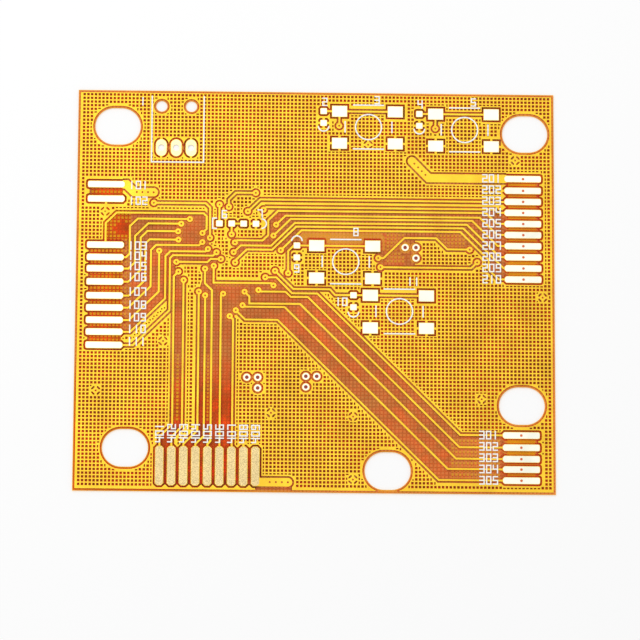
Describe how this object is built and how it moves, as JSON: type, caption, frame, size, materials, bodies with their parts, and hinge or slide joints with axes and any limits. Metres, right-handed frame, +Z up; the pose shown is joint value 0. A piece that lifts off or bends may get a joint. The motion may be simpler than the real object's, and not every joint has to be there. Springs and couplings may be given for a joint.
{
  "type": "bare flexible circuit board",
  "caption": "Bare flexible circuit board: amber film, two copper layers with ground mesh, gold contacts on three edges, pads for switches and a header, five slots.",
  "frame": {"origin": "middle of the underside", "axes": "+Z up from the underside to the printed side, +X along the 64 mm length to the right, +Y towards the edge with the header"},
  "size_m": [0.064, 0.0548, 0.0003],
  "materials": {
    "base_film": "amber polyimide, translucent",
    "cover_film": "thin amber polyimide, glossy and translucent",
    "top_copper": "copper foil seen yellow through the cover film",
    "bottom_copper": "copper foil seen brown through two films",
    "gold": "pale immersion gold, satin",
    "worn_gold": "pale gold, grainy",
    "white_ink": "white printed ink"
  },
  "bodies": {
    "root": {"base_film": "base_film", "top_ground": "top_copper", "bottom_ground": "bottom_copper", "bottom_lands": "bottom_copper", "left_tracks": "top_copper", "right_tracks": "top_copper", "lower_right_tracks": "top_copper", "bottom_tracks": "top_copper", "centre_links": "top_copper", "left_power": "top_copper", "right_power": "top_copper", "bottom_power": "top_copper", "switch_1_link": "top_copper", "switch_2_link": "top_copper", "switch_3_link": "top_copper", "switch_4_link": "top_copper", "header_pads": "top_copper", "test_pads": "top_copper", "via_barrels": "top_copper", "left_gold": "gold", "right_gold": "gold", "lower_right_gold": "gold", "bottom_gold": "worn_gold", "switch_gold": "gold", "chip_gold": "gold", "header_gold": "gold", "test_gold": "gold", "top_cover": "cover_film", "bottom_cover": "cover_film", "legend": "white_ink"}
  },
  "joints": []
}
